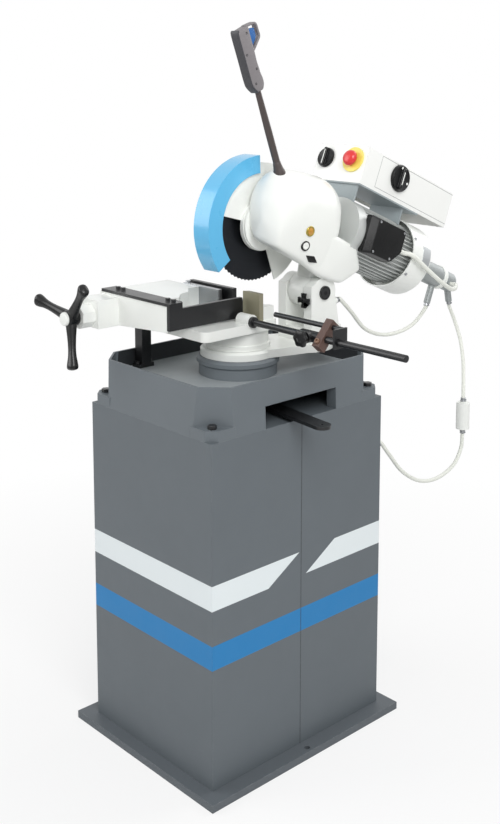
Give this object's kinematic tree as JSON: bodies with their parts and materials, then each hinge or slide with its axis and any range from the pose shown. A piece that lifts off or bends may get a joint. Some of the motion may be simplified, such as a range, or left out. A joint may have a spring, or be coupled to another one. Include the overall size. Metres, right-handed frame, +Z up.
{
  "type": "cold saw",
  "caption": "Circular cold saw on a cabinet stand: tilting motor head with swinging blade guard, mitring turntable, screw vise with handwheel, bar stop, coolant tray and hoses.",
  "frame": {"origin": "centre of the floor plate's underside, on the turntable's turning axis", "axes": "+Z up, +Y away from the operator, +X to the operator's right"},
  "size_m": [0.8648, 1.111, 1.7193],
  "materials": {
    "cabinet_paint": "powder coat, fine texture",
    "tank_steel": "painted sheet",
    "grey_plastic": "moulded",
    "tray_paint": "powder coat, fine texture",
    "black_steel": "black oxide and paint",
    "grey_iron": "painted grey",
    "white_paint": "gloss enamel on castings",
    "olive_steel": "bare jaw",
    "hose": "soft plastic tube",
    "black_plastic": "moulded",
    "bronze": "cut bronze",
    "steel": "machined",
    "alu": "die cast",
    "copper": "wound",
    "blade_steel": "steam blackened",
    "guard_blue": "gloss enamel",
    "blue_plastic": "moulded",
    "red_plastic": "moulded",
    "brown_steel": "brown paint"
  },
  "bodies": {
    "stand": {"base_plate": "cabinet_paint", "cabinet_front": "cabinet_paint", "cabinet_rear": "cabinet_paint", "coolant_tank": "tank_steel", "hose_gland": "grey_plastic", "coolant_tray": "tray_paint", "tray_bolts": "black_steel", "pedestal": "grey_iron", "vise_base": "white_paint", "vise_post": "black_steel", "vise_bed": "white_paint", "jaw_fixed_left": "black_steel", "jaw_fixed_right": "olive_steel", "guide_rod": "black_steel", "return_hose": "hose"},
    "lever": {"lock_lever": "black_steel"},
    "turntable": {"turntable_plate": "white_paint", "column": "white_paint", "hinge_pin": "black_steel", "coolant_hose": "hose", "suction_hose": "hose", "hose_filter": "grey_plastic"},
    "column_clamp": {"column_knob": "black_plastic"},
    "head": {"gear_case": "white_paint", "gear_cover": "white_paint", "oil_plugs": "bronze", "spindle_bearings": "steel", "motor_body": "alu", "stator": "copper", "fan_cover": "white_paint", "terminal_box": "black_plastic", "control_box": "white_paint", "box_bracket": "grey_iron", "handle_rod": "steel", "grip": "grey_plastic", "fixed_guard": "white_paint", "coolant_pump": "alu", "pump_cable": "hose"},
    "blade_shaft": {"saw_blade": "blade_steel", "blade_flange": "steel", "spindle": "steel", "worm_wheel": "bronze"},
    "motor_shaft": {"worm": "steel", "rotor": "steel", "cooling_fan": "black_plastic"},
    "swing_guard": {"blade_guard": "guard_blue"},
    "trigger": {"trigger": "blue_plastic"},
    "estop": {"estop_button": "red_plastic"},
    "selector": {"selector_knob": "black_plastic"},
    "power_switch": {"main_switch": "black_plastic"},
    "jaw": {"jaw_slide": "white_paint", "jaw_plate": "steel", "front_strip": "black_steel", "cutoff_arm": "black_steel"},
    "wheel": {"handwheel": "black_steel", "vise_screw": "steel"},
    "clamp": {"stop_clamp": "brown_steel"},
    "stop": {"stop_rod": "black_steel"},
    "clamp_knob": {"stop_knob": "black_plastic"}
  },
  "joints": [
    {"name": "miter_turn", "type": "hinge", "parent": "stand", "child": "turntable", "pos_m": [0, 0, 0.9334], "axis": [0, 0, 1], "range_deg": [-45, 0]},
    {"name": "lever_swing", "type": "hinge", "parent": "stand", "child": "lever", "pos_m": [0, 0, 0.829], "axis": [0, 0, 1], "range_deg": [-14, 26]},
    {"name": "column_knob_turn", "type": "hinge", "parent": "turntable", "child": "column_clamp", "pos_m": [0.0998, 0.12, 1.0594], "axis": [0, -1, 0], "range_deg": [-180, 180]},
    {"name": "head_tilt", "type": "hinge", "parent": "turntable", "child": "head", "pos_m": [0, 0.176, 1.0744], "axis": [1, 0, 0], "range_deg": [0, 32]},
    {"name": "worm_spin", "type": "hinge", "parent": "head", "child": "motor_shaft", "pos_m": [0.08, 0.07662, 1.29583], "axis": [0, 0.9205, -0.3907], "continuous": true},
    {"name": "blade_spin", "type": "hinge", "parent": "head", "child": "blade_shaft", "pos_m": [0, 0.05396, 1.24244], "axis": [1, 0, 0], "continuous": true},
    {"name": "guard_swing", "type": "hinge", "parent": "head", "child": "swing_guard", "pos_m": [0, 0.05396, 1.24244], "axis": [1, 0, 0], "range_deg": [-72, 0]},
    {"name": "trigger_press", "type": "hinge", "parent": "head", "child": "trigger", "pos_m": [0.08, -0.0394, 1.66283], "axis": [1, 0, 0], "range_deg": [0, 4], "stiffness_Nm_per_rad": 1.2, "springref_deg": -5.73},
    {"name": "estop_press", "type": "slide", "parent": "head", "child": "estop", "axis": [0, 0.9205, -0.3907], "range_m": [0, 0.004], "stiffness_N_per_m": 900, "springref_m": -0.002},
    {"name": "selector_turn", "type": "hinge", "parent": "head", "child": "selector", "pos_m": [-0.008, 0.31331, 1.38765], "axis": [0, 0.9205, -0.3907], "range_deg": [-45, 45]},
    {"name": "power_turn", "type": "hinge", "parent": "head", "child": "power_switch", "pos_m": [0.125, 0.44112, 1.33557], "axis": [1, 0, 0], "range_deg": [0, 90]},
    {"name": "jaw_travel", "type": "slide", "parent": "stand", "child": "jaw", "axis": [0, 1, 0], "range_m": [-0.085, 0.008]},
    {"name": "wheel_turn", "type": "hinge", "parent": "jaw", "child": "wheel", "pos_m": [-0.203, -0.326, 1.0374], "axis": [0, 1, 0], "range_deg": [-6120, 576]},
    {"name": "clamp_travel", "type": "slide", "parent": "stand", "child": "clamp", "axis": [1, 0, 0], "range_m": [-0.1, 0.16]},
    {"name": "stop_travel", "type": "slide", "parent": "clamp", "child": "stop", "axis": [1, 0, 0], "range_m": [-0.02, 0.1]},
    {"name": "clamp_knob_turn", "type": "hinge", "parent": "clamp", "child": "clamp_knob", "pos_m": [0.272, -0.027, 1.0264], "axis": [0, -1, 0], "range_deg": [-180, 180]}
  ],
  "couplings": [
    {"joint": "blade_spin", "follows": "worm_spin", "ratio": 0.022222},
    {"joint": "guard_swing", "follows": "head_tilt", "ratio": -2.2},
    {"joint": "jaw_travel", "follows": "wheel_turn", "m_per_rad": 0.00079577}
  ]
}
